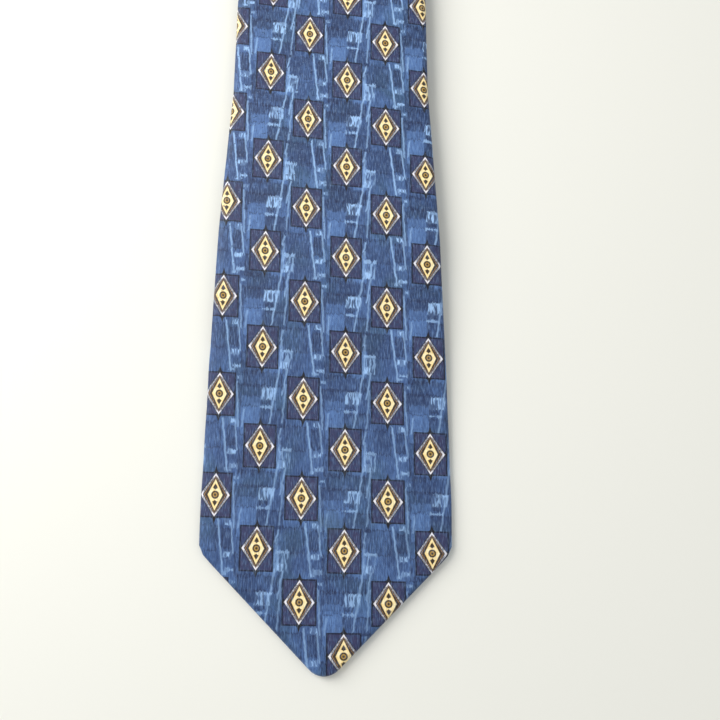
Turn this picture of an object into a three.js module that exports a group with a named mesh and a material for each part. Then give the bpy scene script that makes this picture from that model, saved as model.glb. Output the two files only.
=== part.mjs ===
// A classic long necktie, folded in half at the neck and lying face up, with its narrow tail beneath
// the blade.
//
// Every piece is first drawn on the tie laid out straight and face up: x runs across it, s runs along
// its middle from the blade's point to the tail's point, and z rises from its back (0) to its face
// (TIE_THICKNESS). The lay functions then place each half: the blade half on top, and the tail half
// turned over beneath it.

import * as THREE from 'three';

// ---- Driving dimensions, in millimetres ----------------------------------------------------------

const TIE_LENGTH = 1470; // from point to point, laid straight
const FOLD_AT = 865; // the neck fold, from the blade's point
const BLADE_WIDTH = 95; // at the blade's two corners
const BLADE_MID_WIDTH = 80; // where the blade's taper changes
const BLADE_MID_AT = 265;
const NECK_WIDTH = 34;
const NECK_FROM = 880; // the stretch of even width that goes under the collar
const NECK_TO = 1130;
const TAIL_WIDTH = 45; // at the tail's two corners
const POINT_HALF_WIDTH = 3.2; // the blunt end of each point

const SHELL_CLOTH = 0.6;
const INTERLINING_CLOTH = 1.3;
const TIPPING_CLOTH = 0.4;
const GAP = 0.3; // between pieces that touch
const BACK_SEAM_GAP = 1.2; // between the two back panels

const POINT_HEM = 8; // turned under behind each point
const BLADE_CLOSED_FROM = 150; // where the back panels meet
const TAIL_CLOSED_FROM = 95; // from the tail's point
const TIPPING_OVERLAP = 25; // how far the tipping runs up inside the closed back
const LINING_START = 4; // from each point to the interlining and tipping

const BLADE_SEAM_AT = 690; // bias seam between the blade and the neck
const TAIL_SEAM_AT = 1010; // bias seam between the neck and the tail
const BIAS_REACH = 70; // length over which the sections turn to the seams' 45 degrees

const LAYER_GAP = 1.1; // between the folded halves, where labels and threads lie
const RISE_FROM = 70; // the blade's point lies on the table, and it climbs onto the tail from here
const RISE_TO = 185;
const FOLD_CLEARANCE = 0.6; // from each half's end to the fold line

const THREAD = 0.5;
const FINE_THREAD = 0.4;
const TACK_LENGTH = 9;
const TACK_WIDTH = 1.6;
const TACK_HEIGHT = 0.5;
const THREAD_INSET = 1; // from where the back panels meet to the slip stitch's end
const TACK_INSET = 4; // and to the bar tack

const KEEPER_FROM = 219;
const KEEPER_WIDTH = 12; // along the tie
const KEEPER_CLOTH = 0.5;
const KEEPER_SLACK = 4.3; // the tail's room in the loop
const KEEPER_CLEARANCE = 3; // the loop is this much wider than the tail
const KEEPER_SIDE = 4; // each slanting side, across the tie
const KEEPER_END = 5; // each end sewn to the blade

const LABEL_FROM = 243;
const LABEL_LENGTH = 38; // along the tie
const LABEL_WIDTH = 52;
const LABEL_CLOTH = 0.5;
const LABEL_EDGE_STITCH = 0.6;

const CARE_LABEL_FROM = 179;
const CARE_LABEL_LENGTH = 28;
const CARE_LABEL_WIDTH = 22;
const CARE_LABEL_CLOTH = 0.3;

const SPARE_LOOP_LENGTH = 14;
const SPARE_LOOP_WIDTH = 3.4;
const SPARE_LOOP_JOIN = 5; // where its two strands part

// ---- Sizes that follow from them -----------------------------------------------------------------

const TIE_THICKNESS = 2 * SHELL_CLOTH + INTERLINING_CLOTH + TIPPING_CLOTH + 3 * GAP;
const ROLL = TIE_THICKNESS / 2; // radius of the rolled edges
const LIFT = TIE_THICKNESS + LAYER_GAP; // height of the blade half over the table
const FOLDED_LENGTH = FOLD_AT - FOLD_CLEARANCE;
const SEAM_WIDTH = (FINE_THREAD + 2 * GAP) * Math.SQRT2; // along the tie, at 45 degrees
const BLADE_CORNER_AT = BLADE_WIDTH / 2 - POINT_HALF_WIDTH;
const TAIL_CORNER_AT = TIE_LENGTH - TAIL_WIDTH / 2 + POINT_HALF_WIDTH;
const TIPPING_Z = SHELL_CLOTH + GAP;
const INTERLINING_Z = TIPPING_Z + TIPPING_CLOTH + GAP;

// ---- Materials -----------------------------------------------------------------------------------

const cloth = (color, roughness) => new THREE.MeshStandardMaterial({ color, roughness, metalness: 0 });

const printedSilk = cloth(0x3f5c92, 0.6);
const wool = cloth(0xe4dfd0, 0.95);
const lining = cloth(0x27365f, 0.4);
const labelCloth = cloth(0x1c2540, 0.6);
const careCloth = cloth(0xf1f0ec, 0.55);
const thread = cloth(0x33486f, 0.6);

// ---- Shape of the tie ----------------------------------------------------------------------------

const mix = (a, b, t) => a + (b - a) * t;

// Half the tie's width at a distance s along it: a right-angled point at each end, and straight tapers
// between.
const TAPERS = [
  [BLADE_CORNER_AT, BLADE_WIDTH],
  [BLADE_MID_AT, BLADE_MID_WIDTH],
  [NECK_FROM, NECK_WIDTH],
  [NECK_TO, NECK_WIDTH],
  [TAIL_CORNER_AT, TAIL_WIDTH],
];

function halfWidthAt(s) {
  if (s < BLADE_CORNER_AT) return POINT_HALF_WIDTH + s;
  if (s > TAIL_CORNER_AT) return POINT_HALF_WIDTH + TIE_LENGTH - s;
  const next = TAPERS.findIndex(([at]) => at >= s);
  if (next <= 0) return BLADE_WIDTH / 2;
  const [at0, width0] = TAPERS[next - 1];
  const [at1, width1] = TAPERS[next];
  return mix(width0, width1, (s - at0) / (at1 - at0)) / 2;
}

// Half the opening between the back panels: a hem's width short of the edge behind the point, then
// narrowing until the panels meet.
function halfOpeningAt(s) {
  const fromBlade = s < TIE_LENGTH / 2;
  const fromPoint = fromBlade ? s : TIE_LENGTH - s;
  const corner = fromBlade ? BLADE_CORNER_AT : TIE_LENGTH - TAIL_CORNER_AT;
  const closed = fromBlade ? BLADE_CLOSED_FROM : TAIL_CLOSED_FROM;
  const cornerOpening = halfWidthAt(fromBlade ? corner : TAIL_CORNER_AT) - POINT_HEM;
  const narrowest = BACK_SEAM_GAP / 2;
  if (fromPoint >= closed) return narrowest;
  if (fromPoint > corner) return mix(cornerOpening, narrowest, (fromPoint - corner) / (closed - corner));
  return Math.max(narrowest, halfWidthAt(s) - POINT_HEM);
}

// How far the blade half lies above the table at s.
function liftAt(s) {
  const t = THREE.MathUtils.smoothstep(s, RISE_FROM, RISE_TO);
  return LIFT * t;
}

// ---- Places of the two halves --------------------------------------------------------------------

const layBlade = ([x, s, z]) => [x, s - FOLDED_LENGTH / 2, z + liftAt(s)];
const layTail = ([x, s, z]) => [x, 2 * FOLD_AT - s - FOLDED_LENGTH / 2, TIE_THICKNESS - z];

// ---- Solids --------------------------------------------------------------------------------------

// A closed solid from a closed outline repeated at each station: rings of points joined by quads, with
// strips that run between the outline's outer and inner lines closing its two ends.
function loft(rings) {
  const count = rings[0].length;
  const half = count / 2;
  const faces = [];
  const quad = (a, b, c, d) => faces.push(a, b, c, a, c, d);
  for (let r = 0; r + 1 < rings.length; r++) {
    for (let i = 0; i < count; i++) {
      const j = (i + 1) % count;
      quad(r * count + i, r * count + j, (r + 1) * count + j, (r + 1) * count + i);
    }
  }
  const last = (rings.length - 1) * count;
  for (let i = 0; i + 1 < half; i++) {
    const outer = [i, i + 1];
    const inner = [count - 1 - i, count - 2 - i];
    quad(outer[0], inner[0], inner[1], outer[1]);
    quad(last + outer[0], last + outer[1], last + inner[1], last + inner[0]);
  }
  const geometry = new THREE.BufferGeometry();
  geometry.setAttribute('position', new THREE.Float32BufferAttribute(rings.flat(2), 3));
  geometry.setIndex(faces);
  return facingOut(geometry);
}

// Turns a closed solid's faces outwards.
function facingOut(geometry) {
  const at = geometry.getAttribute('position');
  const index = geometry.getIndex();
  const [a, b, c] = [new THREE.Vector3(), new THREE.Vector3(), new THREE.Vector3()];
  let volume = 0;
  for (let i = 0; i < index.count; i += 3) {
    a.fromBufferAttribute(at, index.getX(i));
    b.fromBufferAttribute(at, index.getX(i + 1));
    c.fromBufferAttribute(at, index.getX(i + 2));
    volume += a.dot(b.cross(c));
  }
  if (volume < 0) index.array.reverse();
  geometry.computeVertexNormals();
  return geometry;
}

// The stations between from and to: the ends, and every listed one that lies between them.
function stationsBetween(from, to, listed) {
  return [from, ...listed.filter((s) => s > from + 1 && s < to - 1), to];
}

const spaced = (from, to, step) => {
  const steps = Math.round((to - from) / step);
  return Array.from({ length: steps + 1 }, (_, i) => mix(from, to, i / steps));
};

const STATIONS = [
  2, 5, POINT_HEM, POINT_HEM + 6, 24, 34, BLADE_CORNER_AT,
  ...spaced(RISE_FROM - 14, RISE_TO + 8, 9),
  BLADE_CLOSED_FROM, BLADE_MID_AT, 400, 520,
  BLADE_SEAM_AT - BIAS_REACH, BLADE_SEAM_AT + BIAS_REACH, NECK_FROM,
  TAIL_SEAM_AT - BIAS_REACH, TAIL_SEAM_AT + BIAS_REACH, NECK_TO, 1250,
  TIE_LENGTH - TAIL_CLOSED_FROM, TIE_LENGTH - 55, TAIL_CORNER_AT,
  TIE_LENGTH - 14, TIE_LENGTH - POINT_HEM, TIE_LENGTH - 5, TIE_LENGTH - 2,
].sort((a, b) => a - b);

// A length of the tie's folded shell. Its section runs from one edge of the back opening round a
// rolled edge, across the face and round to the other. biasFrom and biasTo tell which of its ends are
// cut at the seams' 45 degrees.
function shell(from, to, lay, { biasFrom = false, biasTo = false } = {}) {
  const slantAt = (s) => {
    const near = biasFrom ? Math.max(0, 1 - (s - from) / BIAS_REACH) : 0;
    const far = biasTo ? Math.max(0, 1 - (to - s) / BIAS_REACH) : 0;
    return near + far;
  };
  const halfLine = (s, depth, hand) => {
    const reached = s + hand * halfWidthAt(s) * slantAt(s);
    const side = halfWidthAt(reached) - ROLL;
    const radius = ROLL - depth;
    const points = [[hand * halfOpeningAt(s), depth]];
    for (let step = 0; step <= 4; step++) {
      const angle = -Math.PI / 2 + (step * Math.PI) / 4;
      points.push([hand * (side + radius * Math.cos(angle)), ROLL + radius * Math.sin(angle)]);
    }
    return points;
  };
  const line = (s, depth) => [...halfLine(s, depth, 1), ...halfLine(s, depth, -1).reverse()];
  const rings = stationsBetween(from, to, STATIONS).map((s) => {
    const outline = [...line(s, 0), ...line(s, SHELL_CLOTH).reverse()];
    return outline.map(([x, z]) => lay([x, s + x * slantAt(s), z]));
  });
  return loft(rings);
}

// A flat layer inside the tie, or a strip on its back: halfAcross(s) is half its width.
function layer(from, to, bottom, height, halfAcross, lay, middle = 0) {
  const rings = stationsBetween(from, to, STATIONS).map((s) => {
    const half = halfAcross(s);
    const outline = [
      [middle - half, bottom + height],
      [middle + half, bottom + height],
      [middle + half, bottom],
      [middle - half, bottom],
    ];
    return outline.map(([x, z]) => lay([x, s, z]));
  });
  return loft(rings);
}

const insideShell = (s) => halfWidthAt(s) - ROLL;

// A thread that lies along the tie's back seam, as an eight-sided rod.
function seamThread(from, to, lay) {
  const radius = THREAD / 2;
  const centre = SHELL_CLOTH / 2;
  const rings = stationsBetween(from, to, STATIONS).map((s) => {
    const ring = [];
    for (let side = 0; side < 8; side++) {
      const angle = ((side + 0.5) * Math.PI) / 4;
      ring.push(lay([radius * Math.cos(angle), s, centre + radius * Math.sin(angle)]));
    }
    return ring;
  });
  return loft(rings);
}

// The thread of a bias seam, a rod across the face between the two shells.
function biasThread(seamAt, lay) {
  const radius = FINE_THREAD / 2;
  const reach = halfWidthAt(seamAt) - ROLL;
  const centre = TIE_THICKNESS - SHELL_CLOTH / 2;
  const rings = [-reach, reach].map((x) => {
    const ring = [];
    for (let side = 0; side < 6; side++) {
      const angle = (side * Math.PI) / 3;
      const along = (radius * Math.cos(angle)) / Math.SQRT2;
      ring.push(lay([x - along, seamAt + x + along, centre + radius * Math.sin(angle)]));
    }
    return ring;
  });
  return loft(rings);
}

// A flat solid of an outline on the back, from bottom up, cut through by its hole.
function flatPiece(outline, hole, bottom, height, lay) {
  const turning = (points) => {
    const flat = points.map(([x, s]) => new THREE.Vector2(x, s));
    return THREE.ShapeUtils.isClockWise(flat) ? flat.reverse() : flat;
  };
  const shape = new THREE.Shape(turning(outline));
  shape.holes.push(new THREE.Path(turning(hole)));
  const geometry = new THREE.ExtrudeGeometry(shape, { depth: height, bevelEnabled: false, curveSegments: 1 });
  const at = geometry.getAttribute('position');
  for (let i = 0; i < at.count; i++) {
    at.setXYZ(i, ...lay([at.getX(i), at.getY(i), bottom + at.getZ(i)]));
  }
  geometry.computeVertexNormals();
  return geometry;
}

// A drop-shaped outline that hangs from its root towards a point of the tie, with a round end.
function dropOutline(root, end, halfAtRoot, halfAcross) {
  const towards = Math.sign(end - root);
  const centre = end - towards * halfAcross;
  const points = [[halfAtRoot, root]];
  for (let step = 0; step <= 6; step++) {
    const angle = (step * Math.PI) / 6;
    points.push([halfAcross * Math.cos(angle), centre + towards * halfAcross * Math.sin(angle)]);
  }
  points.push([-halfAtRoot, root]);
  return points;
}

const rectangle = (halfAcross, from, to) => [
  [-halfAcross, from],
  [halfAcross, from],
  [halfAcross, to],
  [-halfAcross, to],
];

// A short bar tack across the back seam.
function backTack(middle, lay) {
  const bottom = -GAP - TACK_HEIGHT;
  const half = () => TACK_LENGTH / 2;
  return layer(middle - TACK_WIDTH / 2, middle + TACK_WIDTH / 2, bottom, TACK_HEIGHT, half, lay);
}

// The keeper: a band whose ends are sewn to the blade's back, and whose middle hangs clear for the
// tail.
function keeper() {
  const inner = (TAIL_WIDTH + KEEPER_CLEARANCE) / 2;
  const across = [inner + KEEPER_SIDE + KEEPER_END, inner + KEEPER_SIDE, inner];
  const line = (depth) => {
    const right = [
      [across[0], -GAP - depth],
      [across[1] + (KEEPER_CLOTH - depth) / 2, -GAP - depth],
      [across[2] + (depth * 2) / 3, -KEEPER_SLACK - depth],
    ];
    return [...right, ...right.map(([x, z]) => [-x, z]).reverse()];
  };
  const outline = [...line(0), ...line(KEEPER_CLOTH).reverse()];
  const edges = [KEEPER_FROM, KEEPER_FROM + KEEPER_WIDTH];
  return loft(edges.map((s) => outline.map(([x, z]) => layBlade([x, s, z]))));
}

function keeperTack(side) {
  const middle = side * ((TAIL_WIDTH + KEEPER_CLEARANCE) / 2 + KEEPER_SIDE + KEEPER_END - TACK_WIDTH);
  const from = KEEPER_FROM + 1;
  const to = KEEPER_FROM + KEEPER_WIDTH - 1;
  const bottom = -2 * GAP - KEEPER_CLOTH - TACK_HEIGHT;
  return layer(from, to, bottom, TACK_HEIGHT, () => TACK_WIDTH / 2, layBlade, middle);
}

function labelStitching() {
  const clear = GAP;
  const hole = rectangle(LABEL_WIDTH / 2 + clear, LABEL_FROM - clear, LABEL_FROM + LABEL_LENGTH + clear);
  const out = clear + LABEL_EDGE_STITCH;
  const outline = rectangle(LABEL_WIDTH / 2 + out, LABEL_FROM - out, LABEL_FROM + LABEL_LENGTH + out);
  return flatPiece(outline, hole, -GAP - LABEL_CLOTH, LABEL_CLOTH, layBlade);
}

// The spare loop of the back seam's thread, hanging from its root over the tipping.
function spareLoop(root, end, lay) {
  const half = SPARE_LOOP_WIDTH / 2;
  const towards = Math.sign(end - root);
  const eye = root + towards * SPARE_LOOP_JOIN;
  const hole = dropOutline(eye, end - towards * FINE_THREAD, FINE_THREAD / 8, half - FINE_THREAD);
  const outline = dropOutline(root, end, FINE_THREAD / 2, half);
  return flatPiece(outline, hole, (SHELL_CLOTH - FINE_THREAD) / 2, FINE_THREAD, lay);
}

// ---- The tie -------------------------------------------------------------------------------------

const tie = new THREE.Group();
const add = (name, geometry, material) => {
  const mesh = new THREE.Mesh(geometry, material);
  mesh.name = name;
  tie.add(mesh);
};

const bladeHalfEnd = FOLD_AT - FOLD_CLEARANCE;
const tailHalfStart = FOLD_AT + FOLD_CLEARANCE;
const seamHalf = SEAM_WIDTH / 2;
const atTail = (fromPoint) => TIE_LENGTH - fromPoint;

// Printed cloth
const bladeShell = shell(0, BLADE_SEAM_AT - seamHalf, layBlade, { biasTo: true });
const neckFront = shell(BLADE_SEAM_AT + seamHalf, bladeHalfEnd, layBlade, { biasFrom: true });
const neckRear = shell(tailHalfStart, TAIL_SEAM_AT - seamHalf, layTail, { biasTo: true });
const tailShell = shell(TAIL_SEAM_AT + seamHalf, TIE_LENGTH, layTail, { biasFrom: true });
add('blade_shell', bladeShell, printedSilk);
add('neck_shell_front', neckFront, printedSilk);
add('neck_shell_rear', neckRear, printedSilk);
add('tail_shell', tailShell, printedSilk);

// Interlining and tipping
const woolBlade = layer(LINING_START, bladeHalfEnd, INTERLINING_Z, INTERLINING_CLOTH, insideShell, layBlade);
const woolTail = layer(
  tailHalfStart, atTail(LINING_START), INTERLINING_Z, INTERLINING_CLOTH, insideShell, layTail,
);
const bladeTippingEnd = BLADE_CLOSED_FROM + TIPPING_OVERLAP;
const tailTippingStart = atTail(TAIL_CLOSED_FROM + TIPPING_OVERLAP);
const tippingBlade = layer(
  LINING_START, bladeTippingEnd, TIPPING_Z, TIPPING_CLOTH, insideShell, layBlade,
);
const tippingTail = layer(
  tailTippingStart, atTail(LINING_START), TIPPING_Z, TIPPING_CLOTH, insideShell, layTail,
);
add('blade_interlining', woolBlade, wool);
add('tail_interlining', woolTail, wool);
add('blade_tipping', tippingBlade, lining);
add('tail_tipping', tippingTail, lining);

// Threads of the seams
const bladeThreadFrom = BLADE_CLOSED_FROM + THREAD_INSET;
const tailThreadTo = atTail(TAIL_CLOSED_FROM + THREAD_INSET);
const bladeLoopRoot = bladeThreadFrom - GAP;
const tailLoopRoot = tailThreadTo + GAP;
add('blade_slip_stitch', seamThread(bladeThreadFrom, bladeHalfEnd, layBlade), thread);
add('tail_slip_stitch', seamThread(tailHalfStart, tailThreadTo, layTail), thread);
add('blade_bar_tack', backTack(BLADE_CLOSED_FROM + TACK_INSET, layBlade), thread);
add('tail_bar_tack', backTack(atTail(TAIL_CLOSED_FROM + TACK_INSET), layTail), thread);
add('blade_spare_thread', spareLoop(bladeLoopRoot, bladeLoopRoot - SPARE_LOOP_LENGTH, layBlade), thread);
add('tail_spare_thread', spareLoop(tailLoopRoot, tailLoopRoot + SPARE_LOOP_LENGTH, layTail), thread);
add('blade_seam_thread', biasThread(BLADE_SEAM_AT, layBlade), thread);
add('tail_seam_thread', biasThread(TAIL_SEAM_AT, layTail), thread);

// Keeper
add('keeper_loop', keeper(), printedSilk);
add('keeper_tack_left', keeperTack(-1), thread);
add('keeper_tack_right', keeperTack(1), thread);

// Labels
const strip = (from, length, height, width) =>
  layer(from, from + length, -GAP - height, height, () => width / 2, layBlade);
const careStitchAt = CARE_LABEL_FROM + CARE_LABEL_LENGTH + GAP;
add('maker_label', strip(LABEL_FROM, LABEL_LENGTH, LABEL_CLOTH, LABEL_WIDTH), labelCloth);
add('maker_label_stitching', labelStitching(), thread);
add('care_label', strip(CARE_LABEL_FROM, CARE_LABEL_LENGTH, CARE_LABEL_CLOTH, CARE_LABEL_WIDTH), careCloth);
add('care_label_stitch', strip(careStitchAt, TACK_WIDTH, TACK_HEIGHT, CARE_LABEL_WIDTH), thread);

export default tie;
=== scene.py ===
# %% [markdown]
# # A printed silk necktie
# The tie lies folded in half at the neck: the wide blade on top, face up, and the narrow tail beneath
# it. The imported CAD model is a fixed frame, so each Blender piece takes its place and its body from
# there. Blender measures in metres. The tie's own sizes are plain millimetres, and MM, a millimetre
# in metres, turns them into metres where Blender takes them.

# %% Load the frame
import math

import bmesh
import bpy
from mathutils import Matrix, Vector, noise

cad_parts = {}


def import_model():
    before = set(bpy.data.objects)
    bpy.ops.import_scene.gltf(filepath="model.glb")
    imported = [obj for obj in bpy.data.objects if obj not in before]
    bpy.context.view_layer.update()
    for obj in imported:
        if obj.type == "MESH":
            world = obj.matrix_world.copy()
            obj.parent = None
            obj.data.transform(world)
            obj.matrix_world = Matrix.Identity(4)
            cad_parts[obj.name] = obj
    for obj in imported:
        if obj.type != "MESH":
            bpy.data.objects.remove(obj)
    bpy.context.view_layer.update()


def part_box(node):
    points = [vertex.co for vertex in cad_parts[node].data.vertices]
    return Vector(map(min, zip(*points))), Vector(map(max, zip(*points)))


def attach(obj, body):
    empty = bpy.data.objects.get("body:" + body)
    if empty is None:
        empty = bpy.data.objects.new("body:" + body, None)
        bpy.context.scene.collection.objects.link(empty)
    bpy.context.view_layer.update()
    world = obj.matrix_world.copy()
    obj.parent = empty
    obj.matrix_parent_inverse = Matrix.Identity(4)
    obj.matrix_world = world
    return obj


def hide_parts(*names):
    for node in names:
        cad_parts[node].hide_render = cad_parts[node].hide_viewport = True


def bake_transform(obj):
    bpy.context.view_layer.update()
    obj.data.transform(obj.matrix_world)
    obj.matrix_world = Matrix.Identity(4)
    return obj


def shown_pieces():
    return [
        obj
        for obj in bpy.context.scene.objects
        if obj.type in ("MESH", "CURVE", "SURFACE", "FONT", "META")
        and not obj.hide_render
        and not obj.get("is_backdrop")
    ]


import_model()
MM = 0.001

# %% [markdown]
# The camera comes first. It stands over the blade and looks almost straight down, a little from the
# side of the point, and it sees only the lower part of the blade. The places below are measured from
# the blade's point.

# %% Camera
point_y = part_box("blade_shell")[0][1]

VIEW_AT = Vector((12.6 * MM, point_y + 117 * MM, 4 * MM))
VIEW_DISTANCE = 300 * MM
VIEW_TILT = math.radians(10)
VIEW_TURN = math.radians(0.3)
LENS = 38.6
SENSOR = 36.0

camera_data = bpy.data.cameras.new("camera")
camera_data.lens = LENS
camera_data.sensor_width = SENSOR
camera_data.clip_start = 0.01
camera = bpy.data.objects.new("camera", camera_data)
bpy.context.scene.collection.objects.link(camera)
turn = Matrix.Rotation(VIEW_TURN, 4, "Z") @ Matrix.Rotation(VIEW_TILT, 4, "X")
camera.matrix_world = Matrix.Translation(VIEW_AT) @ turn @ Matrix.Translation((0, 0, VIEW_DISTANCE))
bpy.context.scene.camera = camera
bpy.context.scene.view_settings.view_transform = "Standard"
print("camera at, mm:", [round(c / MM) for c in camera.matrix_world.translation])

# %% [markdown]
# The floor is a plain pale table. The light is a large soft window to the left with a weaker fill,
# and a small reflector beside the blade brightens its left edge. The sky is a pale grey, so that no
# side of the tie is black.

# %% Floor and light
FLOOR_HALF = 3.0

floor_mesh = bpy.data.meshes.new("floor")
corners = [(-FLOOR_HALF, -FLOOR_HALF, 0), (FLOOR_HALF, -FLOOR_HALF, 0), (FLOOR_HALF, FLOOR_HALF, 0)]
floor_mesh.from_pydata([*corners, (-FLOOR_HALF, FLOOR_HALF, 0)], [], [(0, 1, 2, 3)])
floor = bpy.data.objects.new("floor", floor_mesh)
bpy.context.scene.collection.objects.link(floor)
floor_paint = bpy.data.materials.new("pale_table")
floor_paint.use_nodes = True
floor_shader = floor_paint.node_tree.nodes["Principled BSDF"]
floor_shader.inputs["Base Color"].default_value = (0.82, 0.80, 0.72, 1)
floor_shader.inputs["Roughness"].default_value = 0.7
floor_mesh.materials.append(floor_paint)
floor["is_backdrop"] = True


def window(name, place, aim, size, watts):
    """A soft rectangular light at place, turned towards aim."""
    data = bpy.data.lights.new(name, "AREA")
    data.shape = "RECTANGLE"
    data.size, data.size_y = size
    data.energy = watts
    lamp = bpy.data.objects.new(name, data)
    facing = (place - aim).to_track_quat("Z", "Y").to_matrix().to_4x4()
    lamp.matrix_world = Matrix.Translation(place) @ facing
    bpy.context.scene.collection.objects.link(lamp)


tie_middle = Vector((0, -0.1, 0))
window("window", Vector((-1.0, 0.3, 0.95)), tie_middle, (0.9, 1.3), 15)
window("fill", Vector((1.4, -0.2, 1.8)), tie_middle, (2.0, 2.0), 10)
window("reflector", Vector((-0.34, point_y + 0.32, 0.34)), Vector((0, point_y + 0.2, 0)), (0.3, 0.4), 1.2)
sky = bpy.data.worlds.new("studio")
sky.use_nodes = True
sky.node_tree.nodes["Background"].inputs["Color"].default_value = (0.9, 0.95, 1.0, 1)
sky.node_tree.nodes["Background"].inputs["Strength"].default_value = 0.48
bpy.context.scene.world = sky
print("floor and three soft lights are in")

# %% [markdown]
# ## Tools for the materials
# Each material is built from nodes. These helpers keep the node code as short as the sums it stands
# for: they add a node, join its inputs to values or to other nodes, and give back its result.


# %% Node helpers
def joined(tree, value, socket):
    """Feeds a socket from another socket, or sets its value."""
    if isinstance(value, bpy.types.NodeSocket):
        tree.links.new(value, socket)
    else:
        socket.default_value = value


def maths(tree, operation, *values, clamp=False):
    node = tree.nodes.new("ShaderNodeMath")
    node.operation = operation
    node.use_clamp = clamp
    for value, socket in zip(values, node.inputs):
        joined(tree, value, socket)
    return node.outputs["Value"]


def vector_maths(tree, operation, *values):
    node = tree.nodes.new("ShaderNodeVectorMath")
    node.operation = operation
    for value, socket in zip(values, node.inputs):
        joined(tree, value, socket)
    return node.outputs["Vector"]


def split(tree, vector):
    node = tree.nodes.new("ShaderNodeSeparateXYZ")
    joined(tree, vector, node.inputs["Vector"])
    return node.outputs["X"], node.outputs["Y"]


def combined(tree, x, y, z=0.0):
    node = tree.nodes.new("ShaderNodeCombineXYZ")
    for value, name in ((x, "X"), (y, "Y"), (z, "Z")):
        joined(tree, value, node.inputs[name])
    return node.outputs["Vector"]


def length_of(tree, x, y):
    squares = maths(tree, "ADD", maths(tree, "POWER", x, 2.0), maths(tree, "POWER", y, 2.0))
    return maths(tree, "SQRT", squares)


def share_of(tree, value, half):
    """How much of half a width a value reaches, on either side of the middle."""
    return maths(tree, "DIVIDE", maths(tree, "ABSOLUTE", value), half)


def beyond(tree, value, half):
    """How far a value lies outside half a width, on either side. It is negative inside."""
    return maths(tree, "SUBTRACT", maths(tree, "ABSOLUTE", value), half)


def centred(tree, value, stretch):
    """Noise from 0 to 1 made to swing both ways about 0."""
    return maths(tree, "MULTIPLY", maths(tree, "SUBTRACT", value, 0.5), stretch)


def inside(tree, distance, soft):
    """1 where a distance is negative, 0 where it is positive, and a soft edge as wide as soft between."""
    node = tree.nodes.new("ShaderNodeMapRange")
    node.interpolation_type = "SMOOTHSTEP"
    joined(tree, distance, node.inputs["Value"])
    joined(tree, maths(tree, "MULTIPLY", soft, -0.5), node.inputs["From Min"])
    joined(tree, maths(tree, "MULTIPLY", soft, 0.5), node.inputs["From Max"])
    node.inputs["To Min"].default_value = 1
    node.inputs["To Max"].default_value = 0
    return node.outputs["Result"]


def ramped(tree, value, low, high, to_low=0.0, to_high=1.0):
    """Carries value from low..high to to_low..to_high, and no further."""
    node = tree.nodes.new("ShaderNodeMapRange")
    joined(tree, value, node.inputs["Value"])
    for number, name in ((low, "From Min"), (high, "From Max"), (to_low, "To Min"), (to_high, "To Max")):
        joined(tree, number, node.inputs[name])
    return node.outputs["Result"]


def noise_of(tree, vector, scale, detail=2.0, roughness=0.5, squeeze=None):
    """Noise from 0 to 1. A squeeze (x, y) scales the place first, so that the noise runs in streaks."""
    node = tree.nodes.new("ShaderNodeTexNoise")
    if squeeze:
        vector = vector_maths(tree, "MULTIPLY", vector, (*squeeze, 1))
    joined(tree, vector, node.inputs["Vector"])
    node.inputs["Scale"].default_value = scale
    node.inputs["Detail"].default_value = detail
    node.inputs["Roughness"].default_value = roughness
    return node.outputs["Fac"]


def layered(tree, base, *layers):
    """Lays colours over a base, each shown by its mask."""
    for colour, mask in layers:
        node = tree.nodes.new("ShaderNodeMix")
        node.data_type = "RGBA"
        joined(tree, mask, node.inputs["Factor"])
        joined(tree, base, node.inputs[6])
        joined(tree, colour, node.inputs[7])
        base = node.outputs[2]
    return base


def screen_colour(red, green, blue):
    """A colour as a screen states it, from 0 to 255, made linear."""
    def linear(value):
        value /= 255
        return value / 12.92 if value <= 0.04045 else ((value + 0.055) / 1.055) ** 2.4
    return (linear(red), linear(green), linear(blue), 1.0)


SOCKETS = {
    "v": "NodeSocketVector", "f": "NodeSocketFloat", "c": "NodeSocketColor",
    "g": "NodeSocketGeometry", "i": "NodeSocketInt", "m": "NodeSocketMaterial",
}


def new_group(name, takes, gives, kind="ShaderNodeTree"):
    """A node group. takes and gives are lists of (socket name, kind of socket), named in SOCKETS."""
    tree = bpy.data.node_groups.new(name, kind)
    for side, sockets in (("INPUT", takes), ("OUTPUT", gives)):
        for socket, letter in sockets:
            tree.interface.new_socket(socket, in_out=side, socket_type=SOCKETS[letter])
    entry = tree.nodes.new("NodeGroupInput")
    leave = tree.nodes.new("NodeGroupOutput")
    return tree, entry.outputs, leave.inputs


def placed(tree, group, **values):
    """Places a group in a tree with its values. A socket called Half Width is given as half_width."""
    node = tree.nodes.new("ShaderNodeGroup")
    node.node_tree = group
    for name, value in values.items():
        joined(tree, value, node.inputs[name.replace("_", " ").title()])
    return node.outputs


print("node helpers are ready")

# %% [markdown]
# ## The print
# The silk is printed with pale diamonds on dark upright rectangles. They stand on a staggered grid:
# each column is dropped by half a step against its neighbours. A point on the cloth belongs to one of
# two plain grids, one for each kind of column, and the nearer centre of the two wins. This group
# gives a point's place from that nearest centre, in millimetres, so a motif is drawn once.

# %% Group: staggered grid
HALF_PITCH_ACROSS = 16.6
HALF_PITCH_ALONG = 18.8


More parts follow.
